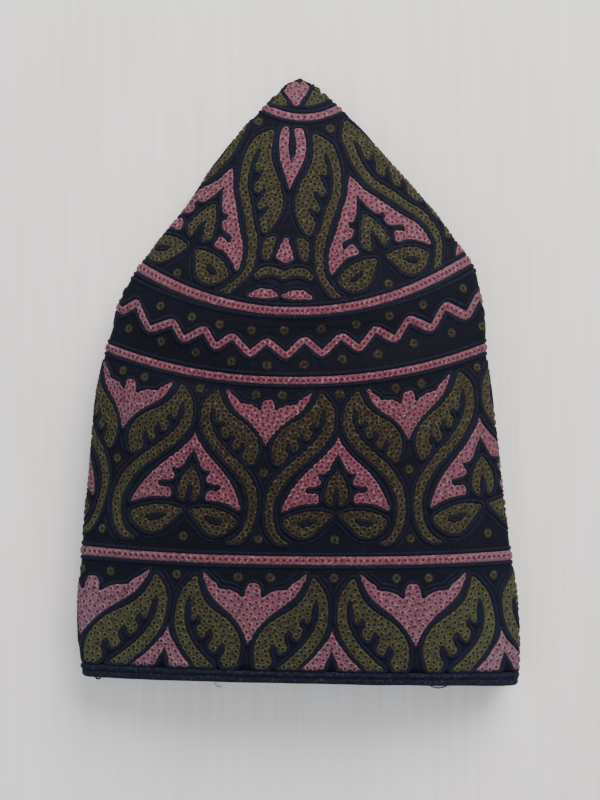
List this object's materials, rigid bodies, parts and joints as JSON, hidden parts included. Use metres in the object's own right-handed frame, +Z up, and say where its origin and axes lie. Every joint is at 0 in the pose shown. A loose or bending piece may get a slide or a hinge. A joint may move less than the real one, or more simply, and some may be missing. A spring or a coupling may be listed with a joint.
{
  "type": "prayer cap",
  "caption": "Stiff embroidered cloth prayer cap with a round flat crown, folded flat in quarters and lying on its back.",
  "frame": {"origin": "middle of the cap's outline, on the surface it lies on", "axes": "+X across the cap to the viewer's right, +Y from the rim to the folded point, +Z up from the surface it lies on"},
  "size_m": [0.138, 0.1924, 0.0363],
  "materials": {
    "embroidered_cloth": "matt cotton, navy ground worked in rose and olive eyelet stitches",
    "binding_cloth": "matt navy cotton thread"
  },
  "bodies": {
    "root": {"side_wall": "embroidered_cloth", "crown": "embroidered_cloth", "rim_binding": "binding_cloth"}
  },
  "joints": []
}
